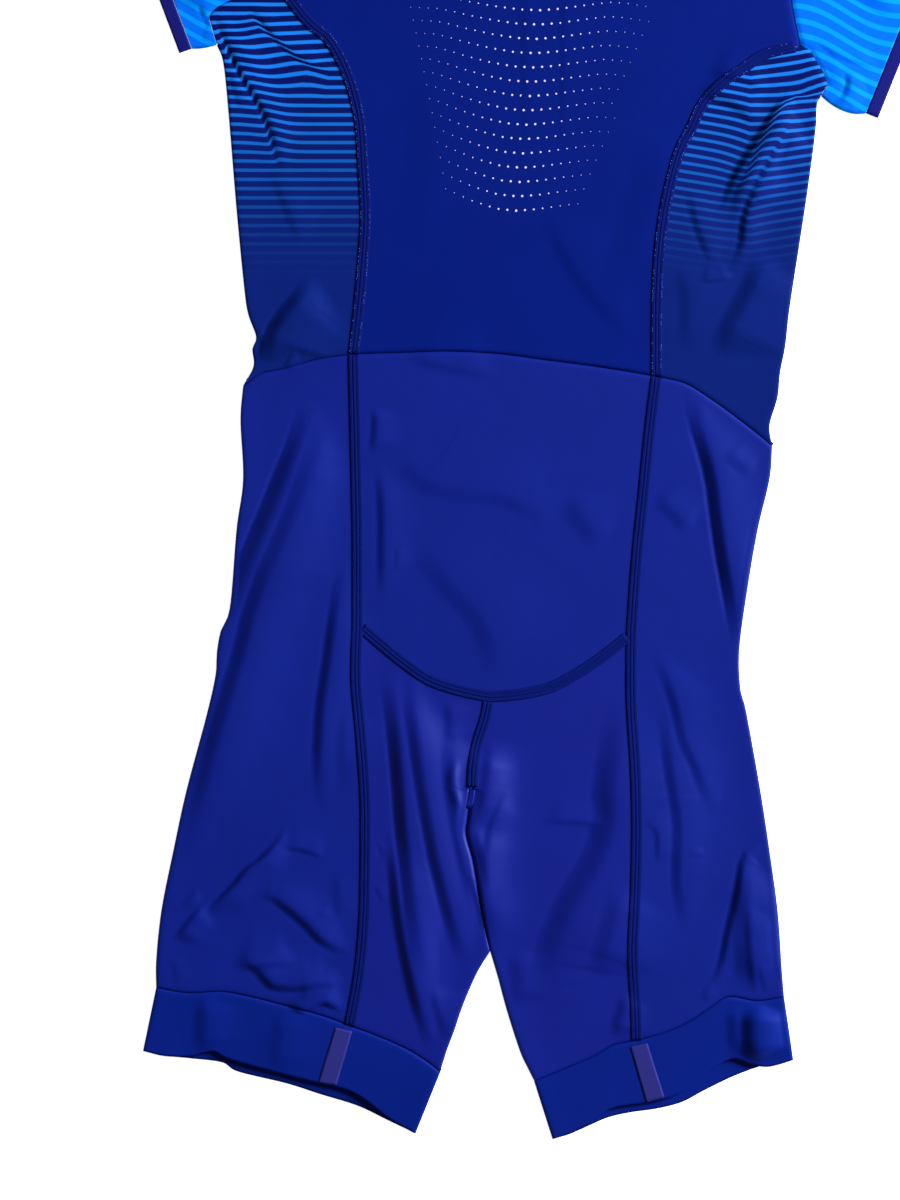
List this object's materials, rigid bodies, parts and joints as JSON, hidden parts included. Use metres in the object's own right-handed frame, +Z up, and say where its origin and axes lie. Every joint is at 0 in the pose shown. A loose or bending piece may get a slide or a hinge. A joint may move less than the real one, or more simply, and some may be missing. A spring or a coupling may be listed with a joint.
{
  "type": "running speedsuit",
  "caption": "One-piece running suit with short sleeves and short legs, laid flat on its front: thin stretch panels, flat stitched seams and wide elastic hems.",
  "frame": {"origin": "middle of the suit's footprint, on the surface it lies on", "axes": "+Y from the hems towards the neck, +X towards the suit's right side as it lies, +Z up out of its back"},
  "size_m": [0.6414, 1.0642, 0.0078],
  "materials": {
    "torso_mesh_knit": "matt fine perforated stretch knit, navy",
    "striped_knit": "stretch knit with bright stripes that fade into navy",
    "wave_knit": "bright blue stretch knit with slanting waves",
    "shorts_knit": "smooth stretch knit, deep blue",
    "satin_knit": "satin-faced stretch knit, deep blue",
    "gripper_band": "dense elastic band, deep blue",
    "binding": "dark elastic binding",
    "hem_tab": "bonded muted violet tape",
    "seam_thread": "flat stitched seam cover, dark navy thread",
    "zip_tape": "woven zip tape, dark navy"
  },
  "bodies": {
    "root": {"back_body": "torso_mesh_knit", "cover_back_left": "seam_thread", "cover_back_right": "seam_thread", "cover_leg_left": "seam_thread", "cover_leg_right": "seam_thread", "cover_seat": "seam_thread", "cuff_left": "binding", "cuff_right": "binding", "front_body": "torso_mesh_knit", "front_brief": "shorts_knit", "front_zip": "zip_tape", "hem_band_left": "gripper_band", "hem_band_right": "gripper_band", "hem_tab_left": "hem_tab", "hem_tab_right": "hem_tab", "inner_leg_left": "satin_knit", "inner_leg_right": "satin_knit", "neck_binding": "binding", "outer_leg_left": "shorts_knit", "outer_leg_right": "shorts_knit", "seat_panel": "shorts_knit", "side_panel_left": "striped_knit", "side_panel_right": "striped_knit", "sleeve_left": "wave_knit", "sleeve_right": "wave_knit"}
  },
  "joints": []
}
